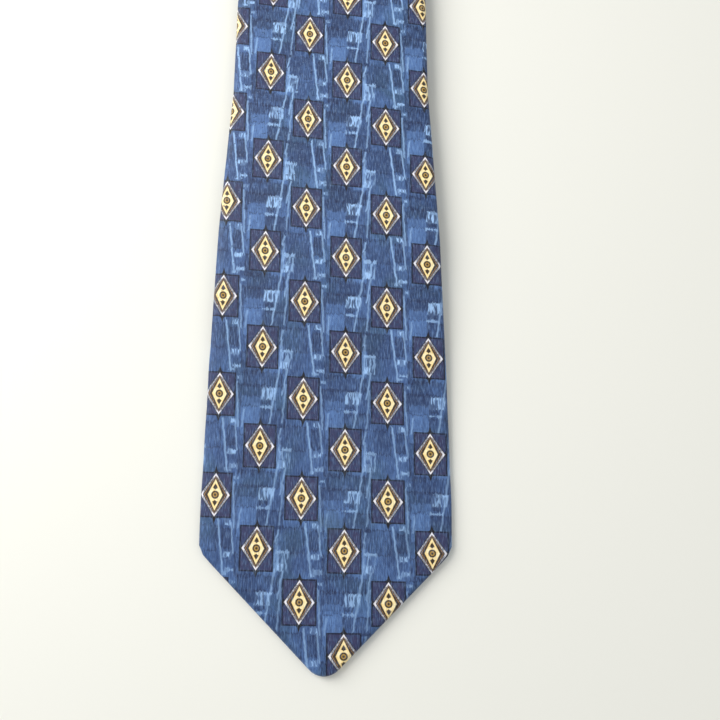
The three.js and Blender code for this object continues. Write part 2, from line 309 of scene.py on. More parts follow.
def staggered_grid():
    tree, takes, gives = new_group("Staggered grid", [("Cloth", "v")], [("Place", "v")])
    x, y = split(tree, takes["Cloth"])
    places = []
    for shift in (0, 1):
        place = []
        for value, half in ((x, HALF_PITCH_ACROSS), (y, HALF_PITCH_ALONG)):
            moved = maths(tree, "SUBTRACT", value, shift * half)
            place.append(maths(tree, "WRAP", moved, half, -half))
        places.append(place)
    across = share_of(tree, places[0][0], HALF_PITCH_ACROSS)
    along = share_of(tree, places[0][1], HALF_PITCH_ALONG)
    first = maths(tree, "LESS_THAN", maths(tree, "ADD", across, along), 1.0)
    chosen = tree.nodes.new("ShaderNodeMix")
    chosen.data_type = "VECTOR"
    joined(tree, first, chosen.inputs[0])
    joined(tree, combined(tree, *places[1]), chosen.inputs[4])
    joined(tree, combined(tree, *places[0]), chosen.inputs[5])
    tree.links.new(chosen.outputs[1], gives["Place"])
    return tree


GRID = staggered_grid()
print("grid steps, mm:", 2 * HALF_PITCH_ACROSS, "by", 2 * HALF_PITCH_ALONG)

# %% [markdown]
# Two shapes draw nearly the whole motif: an upright diamond and a box. Each group gives a soft-edged
# mask. The diamond's level is 1 on its edge, so its distance is that level less 1, times the distance
# from the edge to the middle.

# %% Groups: diamond and box
MASK_TAKES = [("Place", "v"), ("Half Across", "f"), ("Half Along", "f"), ("Soft", "f")]


def diamond_mask():
    tree, takes, gives = new_group("Diamond mask", MASK_TAKES, [("Mask", "f")])
    x, y = split(tree, takes["Place"])
    across, along = takes["Half Across"], takes["Half Along"]
    level = maths(tree, "ADD", share_of(tree, x, across), share_of(tree, y, along))
    depth = maths(tree, "DIVIDE", maths(tree, "MULTIPLY", across, along), length_of(tree, across, along))
    distance = maths(tree, "MULTIPLY", maths(tree, "SUBTRACT", level, 1.0), depth)
    tree.links.new(inside(tree, distance, takes["Soft"]), gives["Mask"])
    return tree


def box_mask():
    tree, takes, gives = new_group("Box mask", MASK_TAKES, [("Mask", "f")])
    x, y = split(tree, takes["Place"])
    across, along = beyond(tree, x, takes["Half Across"]), beyond(tree, y, takes["Half Along"])
    distance = maths(tree, "MAXIMUM", across, along)
    tree.links.new(inside(tree, distance, takes["Soft"]), gives["Mask"])
    return tree


DIAMOND = diamond_mask()
BOX = box_mask()


def diamond(tree, place, across, along, soft=0.3):
    return placed(tree, DIAMOND, place=place, half_across=across, half_along=along, soft=soft)["Mask"]


def box(tree, place, across, along, soft=0.3):
    return placed(tree, BOX, place=place, half_across=across, half_along=along, soft=soft)["Mask"]


def moved(tree, place, x, y):
    """The same place, counted from another middle."""
    return vector_maths(tree, "SUBTRACT", place, (x, y, 0))


print("diamond and box masks are ready")

# %% [markdown]
# The motif is a stack of layers, as a printer lays inks: the dark rectangle and its outline, black
# spear heads above and below, then diamonds inside each other, and last the little ring with a drop
# above and below it. The brown band carries golden streaks, and the silver band is brightest at its
# four corners.

# %% Group: the motif
NIGHT = screen_colour(8, 14, 42)
BLACK_INK = screen_colour(14, 12, 18)
PLUM_NAVY = screen_colour(50, 51, 86)
SLATE_NAVY = screen_colour(44, 57, 94)
SILVER = screen_colour(128, 128, 134)
WHITE_INK = screen_colour(238, 234, 238)
BROWN = screen_colour(58, 42, 32)
GOLD = screen_colour(168, 130, 86)
BUTTER = screen_colour(255, 222, 148)
CREAM = screen_colour(255, 238, 186)
OLIVE = screen_colour(56, 40, 8)
OLD_GOLD = screen_colour(176, 138, 58)


def motif_group():
    tree, takes, gives = new_group("Diamond motif", [("Place", "v"), ("Ground", "c")], [("Colour", "c")])
    place = takes["Place"]
    x, y = split(tree, place)
    wobble = noise_of(tree, place, 0.6)
    flecks = noise_of(tree, place, 1.4, 3.0, squeeze=(1.7, 1.1))
    rectangle = layered(tree, PLUM_NAVY, (SLATE_NAVY, ramped(tree, wobble, 0.4, 0.62)))
    colour = layered(
        tree, takes["Ground"],
        (NIGHT, box(tree, place, 6.5, 8.3, 0.3)),
        (rectangle, box(tree, place, 5.9, 7.75, 0.3)),
    )
    for side in (1, -1):
        colour = layered(
            tree, colour,
            (BLACK_INK, diamond(tree, moved(tree, place, 0, side * 8.5), 0.7, 2.1)),
            (BLACK_INK, diamond(tree, moved(tree, place, 0, side * 8.1), 1.5, 1.0)),
            (BLACK_INK, diamond(tree, moved(tree, place, side * 5.9, 0), 0.75, 1.4)),
        )
    corner = maths(
        tree, "MAXIMUM",
        ramped(tree, maths(tree, "ABSOLUTE", x), 4.3, 5.0),
        ramped(tree, maths(tree, "ABSOLUTE", y), 6.0, 6.8),
    )
    bright = maths(tree, "ADD", corner, ramped(tree, flecks, 0.48, 0.66, 0.0, 0.6), clamp=True)
    silver = layered(tree, SILVER, (WHITE_INK, bright))
    streak = ramped(tree, flecks, 0.42, 0.6, 0.25, 1.0)
    cream = layered(tree, BUTTER, (CREAM, ramped(tree, wobble, 0.4, 0.6)))
    colour = layered(
        tree, colour,
        (BLACK_INK, diamond(tree, place, 6.0, 8.35)),
        (silver, diamond(tree, place, 5.65, 7.9)),
        (BROWN, diamond(tree, place, 4.75, 7.05)),
        (GOLD, maths(tree, "MULTIPLY", streak, diamond(tree, place, 4.4, 6.75, 0.25))),
        (BROWN, diamond(tree, place, 4.0, 6.4, 0.25)),
        (OLIVE, diamond(tree, place, 3.4, 6.0)),
        (cream, diamond(tree, place, 2.9, 5.75)),
    )
    radius = length_of(tree, x, y)
    for size, ink in ((1.5, OLIVE), (0.9, OLD_GOLD), (0.45, OLIVE)):
        colour = layered(tree, colour, (ink, inside(tree, maths(tree, "SUBTRACT", radius, size), 0.35)))
    for side in (1, -1):
        drop = diamond(tree, moved(tree, place, 0, side * 2.95), 0.8, 1.15)
        foot = diamond(tree, moved(tree, place, 0, side * 2.55), 1.05, 0.6)
        colour = layered(tree, colour, (OLIVE, drop), (OLIVE, foot))
    tree.links.new(colour, gives["Colour"])
    return tree


MOTIF = motif_group()
print("motif nodes:", len(MOTIF.nodes))

# %% [markdown]
# The blue ground is drawn like patched denim: upright blocks in slightly different blues, with brush
# marks over them. One group draws any mark. It is an upright box that may lean, repeated at the
# print's full step, and its ribs turn it from a solid line into a scribbled hatch.

# %% Group: brush mark
def brush_mark():
    takes = [("Cloth", "v"), ("Middle", "v"), ("Half Across", "f"), ("Half Along", "f")]
    takes += [("Lean", "f"), ("Ribs", "f")]
    tree, takes, gives = new_group("Brush mark", takes, [("Mask", "f")])
    x, y = split(tree, vector_maths(tree, "SUBTRACT", takes["Cloth"], takes["Middle"]))
    x = maths(tree, "WRAP", x, HALF_PITCH_ACROSS, -HALF_PITCH_ACROSS)
    y = maths(tree, "WRAP", y, HALF_PITCH_ALONG, -HALF_PITCH_ALONG)
    x = maths(tree, "SUBTRACT", x, maths(tree, "MULTIPLY", y, takes["Lean"]))
    streaks = noise_of(tree, takes["Cloth"], 1.25, 1.0, squeeze=(1.0, 0.16))
    ragged_x, ragged_y = centred(tree, streaks, 2.2 * 0.2), centred(tree, streaks, 2.2 * 1.4)
    across = maths(tree, "ADD", beyond(tree, x, takes["Half Across"]), ragged_x)
    along = maths(tree, "ADD", beyond(tree, y, takes["Half Along"]), ragged_y)
    shape = inside(tree, maths(tree, "MAXIMUM", across, along), 0.6)
    comb = ramped(tree, streaks, 0.47, 0.56)
    gaps = maths(tree, "MULTIPLY", takes["Ribs"], maths(tree, "SUBTRACT", 1.0, comb))
    ink = maths(tree, "SUBTRACT", 1.0, gaps)
    tree.links.new(maths(tree, "MULTIPLY", shape, ink), gives["Mask"])
    return tree


MARK = brush_mark()


def brushed(tree, cloth, middle, across, along, lean=0.0, ribs=0.0):
    sizes = {"half_across": across, "half_along": along, "lean": lean, "ribs": ribs}
    return placed(tree, MARK, cloth=cloth, middle=middle, **sizes)["Mask"]


print("brush mark nodes:", len(MARK.nodes))

# %% [markdown]
# The marks are a printer's drawing, so they are simply listed. Each line gives the middle of a mark
# from a motif's middle, half its size, its lean, how combed it is and how strong. The two kinds of
# column carry different marks, and each kind's marks are counted from a motif of its own.

# %% The ground's drawing
FIRST_COLUMN = (0.0, 0.0)
SECOND_COLUMN = (HALF_PITCH_ACROSS, HALF_PITCH_ALONG)
BRUSH_MARKS = [
    # column, x, y, half across, half along, lean, comb, strength
    (SECOND_COLUMN, 3.1, -17.8, 3.1, 2.5, 0.15, 0.9, 0.8),
    (SECOND_COLUMN, 3.9, -15.9, 2.2, 0.5, 0.0, 0.5, 0.6),
    (SECOND_COLUMN, 2.0, -22.9, 2.6, 0.35, 0.0, 0.3, 0.75),
    (SECOND_COLUMN, 5.2, -18.3, 0.34, 11.0, 0.17, 0.3, 0.6),
    (SECOND_COLUMN, 9.7, -4.6, 2.3, 3.6, 0.05, 0.95, 0.5),
    (SECOND_COLUMN, 9.8, -1.0, 2.5, 0.45, 0.0, 0.3, 0.75),
    (SECOND_COLUMN, 8.6, -6.6, 1.4, 1.4, 0.2, 0.7, 0.9),
    (SECOND_COLUMN, 7.6, 4.9, 0.35, 2.2, 0.25, 0.4, 0.6),
    (SECOND_COLUMN, 9.2, -12.8, 0.32, 5.0, 0.18, 0.3, 0.6),
    (SECOND_COLUMN, -6.9, 10.4, 0.35, 3.4, 0.1, 0.4, 0.45),
    (FIRST_COLUMN, 5.4, -9.9, 1.3, 1.1, 0.0, 0.85, 0.9),
    (FIRST_COLUMN, 2.9, -18.8, 0.34, 9.8, -0.13, 0.25, 0.7),
    (FIRST_COLUMN, 7.2, -15.4, 0.3, 5.6, -0.12, 0.3, 0.6),
    (FIRST_COLUMN, 5.7, -21.3, 1.7, 1.1, 0.2, 0.8, 0.95),
    (FIRST_COLUMN, 6.6, -26.7, 1.7, 0.75, 0.0, 0.6, 0.75),
    (FIRST_COLUMN, 7.9, 6.6, 1.0, 0.7, 0.0, 0.8, 0.6),
    (FIRST_COLUMN, 7.3, -3.5, 0.35, 8.6, -0.05, 0.3, 0.5),
    (SECOND_COLUMN, 7.4, -2.0, 0.5, 5.5, 0.06, 0.5, 0.4),
    (FIRST_COLUMN, -7.6, -2.5, 0.32, 7.5, 0.08, 0.3, 0.45),
    (FIRST_COLUMN, 4.6, 9.6, 1.5, 0.8, 0.1, 0.9, 0.5),
]
PATCHES = [
    # column, x, y, half across, half along, strength: above 0 is darker and below 0 is lighter
    (FIRST_COLUMN, 13.6, 0.6, 6.6, 3.6, 0.5),
    (SECOND_COLUMN, 0.6, -12.3, 7.6, 3.2, 0.45),
    (FIRST_COLUMN, 5.1, -15.4, 1.8, 3.8, 0.55),
    (FIRST_COLUMN, -4.2, -15.5, 5.6, 4.8, 0.3),
    (FIRST_COLUMN, -11.0, 14.5, 3.4, 5.8, -0.6),
    (SECOND_COLUMN, -4.0, 14.0, 4.4, 5.0, -0.5),
    (SECOND_COLUMN, 3.4, -27.0, 6.4, 3.4, 0.4),
    (FIRST_COLUMN, 12.4, -9.5, 4.2, 5.8, -0.6),
    (FIRST_COLUMN, 11.5, 12.5, 3.2, 4.4, 0.35),
]
print(len(BRUSH_MARKS), "brush marks and", len(PATCHES), "patches in each repeat")

# %% [markdown]
# The whole print: fine upright ribs and a mottle over the patches, the brush marks, and the motif on
# top. The group gives a colour, and a height for the ribs so that the cloth has some relief where the
# light grazes it.

# %% Group: the print
DENIM = screen_colour(54, 80, 125)
DENIM_DEEP = screen_colour(22, 36, 72)
DENIM_LIGHT = screen_colour(84, 118, 170)
DENIM_TEAL = screen_colour(54, 84, 110)
BRUSH_BLUE = screen_colour(156, 192, 234)
PATCH_EDGE = 0.5
# The colours part from each other a little more as the print runs up the blade.
VIVID_FROM_TO = (10, 130)
VIVID = (0.85, 1.35)


def print_group():
    gives = [("Colour", "c"), ("Ribs", "f"), ("Wear", "f")]
    tree, takes, gives = new_group("Printed silk", [("Cloth", "v")], gives)
    cloth = takes["Cloth"]
    sway = noise_of(tree, cloth, 0.35)
    wavy = combined(tree, centred(tree, sway, 1.1), 0.0)
    drawn = vector_maths(tree, "ADD", cloth, wavy)
    ribs = noise_of(tree, cloth, 1.8, 1.5, 0.55, squeeze=(1.0, 0.16))
    mottle = noise_of(tree, cloth, 1.3, 3.0, 0.7, squeeze=(1.0, 0.6))
    broad = noise_of(tree, cloth, 0.09, squeeze=(1.0, 0.7))
    tint = noise_of(tree, vector_maths(tree, "ADD", cloth, (300, 70, 0)), 0.06, 1.0)
    vivid = ramped(tree, split(tree, cloth)[1], *VIVID_FROM_TO, *VIVID)
    colour = layered(
        tree, DENIM,
        (DENIM_TEAL, ramped(tree, tint, 0.48, 0.62, 0.0, 0.6)),
        (DENIM_LIGHT, ramped(tree, broad, 0.48, 0.7, 0.0, 0.5)),
        (DENIM_DEEP, ramped(tree, broad, 0.5, 0.3, 0.0, 0.35)),
    )
    for (x0, y0), x, y, across, along, dark in PATCHES:
        middle = (x0 + x, y0 + y, 0)
        patch = brushed(tree, drawn, middle, across, along)
        inner = brushed(tree, drawn, middle, across - PATCH_EDGE, along - PATCH_EDGE)
        line = maths(tree, "SUBTRACT", patch, inner, clamp=True)
        strong = maths(tree, "MULTIPLY", vivid, abs(dark))
        ink = DENIM_DEEP if dark > 0 else DENIM_LIGHT
        colour = layered(
            tree, colour,
            (ink, maths(tree, "MULTIPLY", patch, strong)),
            (DENIM_DEEP, maths(tree, "MULTIPLY", line, 0.7)),
        )
    combed = ramped(tree, broad, 0.35, 0.6, 0.45, 1.0)
    colour = layered(
        tree, colour,
        (DENIM_LIGHT, maths(tree, "MULTIPLY", ramped(tree, ribs, 0.5, 0.62, 0.0, 0.42), combed)),
        (DENIM_DEEP, maths(tree, "MULTIPLY", ramped(tree, ribs, 0.49, 0.36, 0.0, 0.26), combed)),
        (DENIM_DEEP, ramped(tree, mottle, 0.43, 0.28, 0.0, 0.6)),
    )
    for (x0, y0), x, y, across, along, lean, comb, strength in BRUSH_MARKS:
        middle = (x0 + x, y0 + y, 0)
        mark = brushed(tree, drawn, middle, across, along, lean, comb)
        strong = maths(tree, "MULTIPLY", vivid, strength, clamp=True)
        colour = layered(tree, colour, (BRUSH_BLUE, maths(tree, "MULTIPLY", mark, strong)))
    place = placed(tree, GRID, cloth=cloth)["Place"]
    colour = placed(tree, MOTIF, place=place, ground=colour)["Colour"]
    threads = noise_of(tree, cloth, 2.6, 1.5, 0.6, squeeze=(1.0, 0.12))
    colour = layered(
        tree, colour,
        (BRUSH_BLUE, ramped(tree, threads, 0.52, 0.68, 0.0, 0.16)),
        (NIGHT, ramped(tree, threads, 0.48, 0.32, 0.0, 0.26)),
    )
    tree.links.new(colour, gives["Colour"])
    tree.links.new(ribs, gives["Ribs"])
    tree.links.new(mottle, gives["Wear"])
    return tree


PRINT = print_group()
print("print nodes:", len(PRINT.nodes))

# %% [markdown]
# Every cloth of the tie is woven, so the weave is a group that all the materials share, each with its
# own number of threads to the millimetre. It is a twill: fine slanting ribs, broken up by the threads
# that cross them. An image of a weave would need a scan, and modelled threads would be far too many
# for the size at which they are seen.

# %% Group: twill weave
CROSSING_THREADS = 0.4


def twill_weave():
    takes = [("Cloth", "v"), ("Threads Across", "f"), ("Threads Along", "f")]
    tree, takes, gives = new_group("Twill weave", takes, [("Height", "f")])
    x, y = split(tree, takes["Cloth"])
    across = maths(tree, "MULTIPLY", x, takes["Threads Across"])
    along = maths(tree, "MULTIPLY", y, takes["Threads Along"])
    rib = maths(tree, "MULTIPLY", maths(tree, "ADD", across, along), math.tau)
    crossing = maths(tree, "MULTIPLY", maths(tree, "SUBTRACT", across, along), math.tau)
    low_ribs = maths(tree, "MULTIPLY", maths(tree, "SINE", crossing), CROSSING_THREADS)
    tree.links.new(maths(tree, "ADD", maths(tree, "SINE", rib), low_ribs), gives["Height"])
    return tree


TWILL = twill_weave()


def twill(tree, cloth, across, along):
    return placed(tree, TWILL, cloth=cloth, threads_across=across, threads_along=along)["Height"]


print("twill nodes:", len(TWILL.nodes))

# %% [markdown]
# The materials read the cloth's own UV map, which holds the place on the flat silk in metres. The
# print therefore follows the cloth round its folded edges and onto the back. On the real blade the
# drawing leans and spreads a little, because the silk is cut on the bias and stretches, so the place
# is bent a little before it is used.

# %% Printed silk
PRINT_MIDDLE = (9.4, -63.7, 0)
SPREAD = (0.00027, 0.00053, 0)
SPREAD_TO = 270
SPREAD_FADES = (300, 650)
STAIN = screen_colour(54, 74, 84)
STAIN_AT = (2.0, 55.0, 0)
STAIN_REACH = 8.0
STAIN_RAGGED = 6.0
STAIN_SOFT = 7.0
STAIN_STRENGTH = 0.4
# Pale flecks that grow up the blade: partly lint and partly painted light, brighter towards the top of the
# blade.
LINT_AND_PAINTED_LIGHT = screen_colour(170, 190, 220)
LINT_AND_LIGHT_GROW = (90, 260, 0.12, 0.4)
SPECKS_ACROSS = (20, -10)
SPECKS_ALONG = (110, 190, 0.1, 0.75)
SILK_THREADS = (1.1, 1.1)
SILK_WEAVE = 0.16


def new_material(name, **constants):
    """A material with its Principled shader's constants set straight on the shader."""
    material = bpy.data.materials.new(name)
    material.use_nodes = True
    shader = material.node_tree.nodes["Principled BSDF"]
    for socket, value in constants.items():
        shader.inputs[socket.replace("_", " ").title()].default_value = value
    return material, material.node_tree, shader


def flat_cloth(tree):
    """The place on the flat cloth in millimetres, from the piece's UV map."""
    uv = tree.nodes.new("ShaderNodeUVMap")
    uv.uv_map = "cloth"
    return vector_maths(tree, "MULTIPLY", uv.outputs["UV"], (1000, 1000, 1))


def bumped(tree, shader, height, strength, distance):
    bump = tree.nodes.new("ShaderNodeBump")
    bump.inputs["Strength"].default_value = strength
    bump.inputs["Distance"].default_value = distance
    joined(tree, height, bump.inputs["Height"])
    tree.links.new(bump.outputs["Normal"], shader.inputs["Normal"])


SILK, tree, shader = new_material("printed_silk", sheen_weight=0.25, sheen_roughness=0.4)
shader.inputs["Sheen Tint"].default_value = (0.75, 0.85, 1, 1)
shader.inputs["Specular IOR Level"].default_value = 0.35
cloth = flat_cloth(tree)
x, y = split(tree, cloth)
spread = ramped(tree, y, 0, SPREAD_TO, 0, SPREAD_TO)
spread = maths(tree, "SUBTRACT", spread, ramped(tree, y, *SPREAD_FADES, 0, SPREAD_TO))
twist = maths(tree, "MULTIPLY", x, spread)
bent = vector_maths(tree, "MULTIPLY", combined(tree, twist, twist), SPREAD)
middle = vector_maths(tree, "ADD", cloth, PRINT_MIDDLE)
inks = placed(tree, PRINT, cloth=vector_maths(tree, "ADD", middle, bent))
stain_x, stain_y = split(tree, vector_maths(tree, "SUBTRACT", cloth, STAIN_AT))
reach = maths(tree, "ADD", maths(tree, "ABSOLUTE", stain_x), maths(tree, "ABSOLUTE", stain_y))
reach = maths(tree, "ADD", reach, maths(tree, "MULTIPLY", noise_of(tree, cloth, 0.3), STAIN_RAGGED))
stain = inside(tree, maths(tree, "SUBTRACT", reach, STAIN_REACH), STAIN_SOFT)
stain = maths(tree, "MULTIPLY", stain, STAIN_STRENGTH)
# Pale flecks, partly lint and partly painted light, which grow stronger towards the top of the blade.
lint_and_light_flecks = ramped(tree, noise_of(tree, cloth, 1.1, 4.0, 0.75), 0.58, 0.72)
lint_and_painted_light = maths(tree, "MULTIPLY", ramped(tree, y, *LINT_AND_LIGHT_GROW), lint_and_light_flecks)
specks = ramped(tree, noise_of(tree, cloth, 0.85, 1.0), 0.36, 0.29)
specked = maths(tree, "MULTIPLY", ramped(tree, x, *SPECKS_ACROSS), ramped(tree, y, *SPECKS_ALONG))
silk_colour = layered(
    tree, inks["Colour"],
    (STAIN, stain),
    (LINT_AND_PAINTED_LIGHT, lint_and_painted_light),
    (DENIM_DEEP, maths(tree, "MULTIPLY", specks, specked)),
)
tree.links.new(silk_colour, shader.inputs["Base Color"])
tree.links.new(ramped(tree, inks["Wear"], 0.3, 0.7, 0.62, 0.5), shader.inputs["Roughness"])
weave = maths(tree, "MULTIPLY", twill(tree, cloth, *SILK_THREADS), SILK_WEAVE)
height = maths(tree, "ADD", inks["Ribs"], weave)
bumped(tree, shader, height, 0.5, 0.12 * MM)
print("silk nodes:", len(tree.nodes))

# %% [markdown]
# The other finishes are plain cloths, so each is one colour broken up by its weave or its fibres, with
# painted shade in the weave's valleys. The satin lining is smooth and shiny, the wool inside is dull
# and hairy, and the two labels are woven ribbons left blank.


# %% Lining, wool, thread and labels
def plain_cloth(name, colour, deep, rough, threads, depth, sheen, border=None):
    """A cloth of one colour, with its weave, painted shade in the weave's valleys and a soft mottle.
    sheen is its weight and its roughness.

    A border is a line woven in: its colour, the middle of the ribbon, half its width and its height to
    the line, and the line's half thickness, in millimetres.
    """
    material, tree, shader = new_material(name, sheen_weight=sheen[0], sheen_roughness=sheen[1])
    cloth = flat_cloth(tree)
    weave = twill(tree, cloth, *threads)
    mottle = noise_of(tree, cloth, 1.2, 4.0, 0.65, squeeze=(1.0, 0.25))
    # Painted shade: the cloth is darkened in the low parts of its weave.
    painted_valley_shade = ramped(tree, weave, 0.2, -1.2, 0, 0.5)
    shade = layered(tree, colour, (deep, ramped(tree, mottle, 0.62, 0.35)), (deep, painted_valley_shade))
    if border:
        gold, middle, half_across, half_along, thin = border
        place = vector_maths(tree, "SUBTRACT", cloth, middle)
        outer = box(tree, place, half_across + thin, half_along + thin, 0.15)
        inner = box(tree, place, half_across - thin, half_along - thin, 0.15)
        shade = layered(tree, shade, (gold, maths(tree, "SUBTRACT", outer, inner, clamp=True)))
    tree.links.new(shade, shader.inputs["Base Color"])
    tree.links.new(ramped(tree, mottle, 0.3, 0.7, rough, rough + 0.12), shader.inputs["Roughness"])
    bumped(tree, shader, maths(tree, "ADD", weave, maths(tree, "MULTIPLY", mottle, 2.0)), 0.5, depth)
    return material


SATIN = plain_cloth(
    "tipping_satin", screen_colour(44, 58, 104), screen_colour(28, 38, 78), 0.3, (2.2, 0.5),
    0.03 * MM, (0.3, 0.3),
)
WOOL = plain_cloth(
    "interlining_wool", screen_colour(226, 218, 198), screen_colour(176, 166, 142), 0.85, (0.7, 0.7),
    0.25 * MM, (0.5, 0.6),
)
THREAD = plain_cloth(
    "sewing_thread", screen_colour(50, 66, 112), screen_colour(24, 32, 64), 0.55, (1.6, 2.4),
    0.05 * MM, (0.3, 0.5),
)
CARE = plain_cloth(
    "care_satin", screen_colour(240, 238, 230), screen_colour(206, 204, 196), 0.35, (0.6, 3.0),
    0.03 * MM, (0.2, 0.3),
)
ribbon_low, ribbon_high = (Vector(corner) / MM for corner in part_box("maker_label"))
ribbon_half = (ribbon_high - ribbon_low) / 2
ribbon_middle = (ribbon_half.x, (ribbon_low.y + ribbon_high.y) / 2 - point_y / MM, 0)
BORDER_INSET = 4
BORDER = (
    screen_colour(196, 170, 110), ribbon_middle, ribbon_half.x - BORDER_INSET, ribbon_half.y - BORDER_INSET,
)
LABEL = plain_cloth(
    "label_weave", screen_colour(38, 48, 86), screen_colour(22, 28, 56), 0.45, (2.0, 2.0), 0.06 * MM,
    (0.2, 0.4), (*BORDER, 0.4),
)
print("five plain cloths")

# %% [markdown]
# ## The shape of the tie
# The tie is drawn first as if it lay straight, face up: x across, s along from the blade's point and
# z up from its back. One rule then lays it down: the blade half rises over the tail, the neck folds
# over, and the tail comes back underneath with its face down.

# %% Sizes from the frame
BLADE_TO_MIDDLE = -point_y / MM
FOLD_FROM = (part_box("neck_shell_front")[1][1] - point_y) / MM
FOLD_CLOTH = 1.2
FOLD_TO = FOLD_FROM + FOLD_CLOTH
TAIL_POINT = FOLD_FROM + FOLD_TO - (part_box("tail_shell")[0][1] - point_y) / MM
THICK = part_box("tail_shell")[1][2] / MM
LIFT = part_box("blade_shell")[1][2] / MM - THICK
CREASE = FOLD_FROM - BLADE_TO_MIDDLE
MIDDLE_OF_FOLD = (LIFT + THICK) / 2
FOLD_INSIDE = (LIFT - THICK) / 2
FOLD_SQUASH = 0.34
RISE_FROM = 70
RISE_TO = 185
print("fold at", round(FOLD_FROM, 1), "and the tail's point at", round(TAIL_POINT, 1), "mm along the tie")
print("thickness", round(THICK, 2), "and lift", round(LIFT, 2), "mm")

# %% [markdown]
# A few small rules hold the shape. One puts a point of the straight tie where the folded tie has it,
# one reads a value off straight lines between a few places, and one gives half the tie's width
# anywhere along it. The points are right-angled with round tips, and the corners are softened,
# because pressed silk can't turn sharply.


# %% Where the tie lies
def smooth(value, low, high):
    share = min(1.0, max(0.0, (value - low) / (high - low)))
    return share * share * (3 - 2 * share)


def laid(x, s, z):
    """A point of the straight tie, in millimetres, put where the folded tie has it, in metres."""
    if s <= FOLD_FROM:
        return Vector((x, s - BLADE_TO_MIDDLE, LIFT * smooth(s, RISE_FROM, RISE_TO) + z)) * MM
    if s >= FOLD_TO:
        return Vector((x, FOLD_FROM + FOLD_TO - BLADE_TO_MIDDLE - s, THICK - z)) * MM
    turned = math.pi * (s - FOLD_FROM) / FOLD_CLOTH
    across = math.sin(turned) * (FOLD_INSIDE + FOLD_SQUASH * z)
    return Vector((x, CREASE + across, MIDDLE_OF_FOLD + math.cos(turned) * (FOLD_INSIDE + z))) * MM


def straight(s, *places):
    """A value at s along straight lines between (s, value) places."""
    for (s0, a), (s1, b) in zip(places, places[1:]):
        if s <= s1:
            return a + (b - a) * max(0.0, s - s0) / (s1 - s0)
    return places[-1][1]


POINT_ROUND = 7.7
CORNER_SOFT = 3.0
SIDES = [
    # place along the tie, half its width
    (44.3, 47.5), (63, 47.5), (115, 46), (168, 43.8), (210, 41), (228, 39.8), (270, 39.2),
    (880, 17), (1130, 17), (1450.7, 22.5),
]


def half_width(s):
    """Half the tie's width at s: right-angled points with round tips, and softened corners."""
    sides = straight(s, *SIDES)
    from_end = max(0.0, min(s, TAIL_POINT - s))
    if from_end < POINT_ROUND * (1 - math.sqrt(0.5)):
        return math.sqrt(POINT_ROUND ** 2 - (POINT_ROUND - from_end) ** 2)
    point = from_end + POINT_ROUND * (math.sqrt(2) - 1)
    meeting = max(0.0, CORNER_SOFT - abs(point - sides)) / CORNER_SOFT
    return min(point, sides) - meeting ** 2 * CORNER_SOFT / 4


print("half widths at 0, 20, 60 and 400 mm:", [round(half_width(s), 1) for s in (0, 20, 60, 400)])

# %% [markdown]
# A tie is a flat tube of cloth, and so are the wool and the lining inside it. One builder makes them
# all. It sweeps a section along the tie: from the back edge round one fold, over the face, round the
# other fold and back. The silk is open along the middle of its back, and it gets its thickness from a
# Solidify modifier, inwards.


# %% Section and rows
FACE_STEPS = 16
ROLL_STEPS = 8
BACK_STEPS = 5


def section(half, opening, low, high):
    """Half of a section, from the middle of the face to the back edge: (x, z, place on the cloth)."""
    middle = (low + high) / 2
    deep = (high - low) / 2
    roll = min(half, deep * 1.15)
    flat = half - roll
    points = [(flat * i / FACE_STEPS, high, flat * i / FACE_STEPS) for i in range(FACE_STEPS)]
    for i in range(ROLL_STEPS + 1):
        angle = math.pi * i / ROLL_STEPS
        points.append((flat + roll * math.sin(angle), middle + deep * math.cos(angle), flat + deep * angle))
    end = flat + deep * math.pi
    opening = min(opening, flat)
    for i in range(1, BACK_STEPS + 1):
        x = flat + (opening - flat) * i / BACK_STEPS
        points.append((x, low, end + flat - x))
    return points


def rows_between(start, stop, step, fine_start=False, fine_stop=False):
    """Places along the tie, closer together near a point."""
    near = [0, 0.08, 0.3, 0.7, 1.2, 1.8, 2.6, 3.5, 4.5, 6, 8]
    rows = []
    if fine_start:
        rows += [start + d for d in near]
    first = rows[-1] if rows else start
    last = stop - near[-1] if fine_stop else stop
    count = max(1, round((last - first) / step))
    rows += [first + (last - first) * i / count for i in range(1 if rows else 0, count + 1)]
    if fine_stop:
        rows += [stop - d for d in reversed(near[:-1])]
    return rows


print("points in a section:", 2 * len(section(40, 0.6, 0, THICK)) - 1)

# %% [markdown]
# The tube itself is a grid of quads through the rows. Each point carries its place on the flat cloth
# in the UV map, so that the cloth's own size can be worked out as it is built. Slow noise lays
# shallow dents in the face and lets the two long edges wander by a fraction of a millimetre, because
# silk never lies dead flat.

# %% Tube builder
RIPPLE_ACROSS = 0.028
RIPPLE_ALONG = 0.017
EDGE_WANDER = 0.35
FOLD_SPARE = 10.0


def rippled(x, s, deep):
    """Slow dents in the face of the cloth, in millimetres.

    Past the fold the face lies on the table, so there it only dips inwards.
    """
    wave = noise.noise(Vector((x * RIPPLE_ACROSS, s * RIPPLE_ALONG, 4.0)))
    wave += 0.3 * noise.noise(Vector((x * 0.12, s * 0.07, 7.0)))
    return deep * (wave if s < FOLD_FROM - 20 else 0.5 * wave - 0.5)


def plain_mesh(piece):
    """Applies a piece's modifiers by making its evaluated shape into a plain mesh."""
    seen = piece.evaluated_get(bpy.context.evaluated_depsgraph_get())
    made = bpy.data.meshes.new_from_object(seen, depsgraph=bpy.context.evaluated_depsgraph_get())
    made.name = piece.name
    piece.modifiers.clear()
    piece.data = made


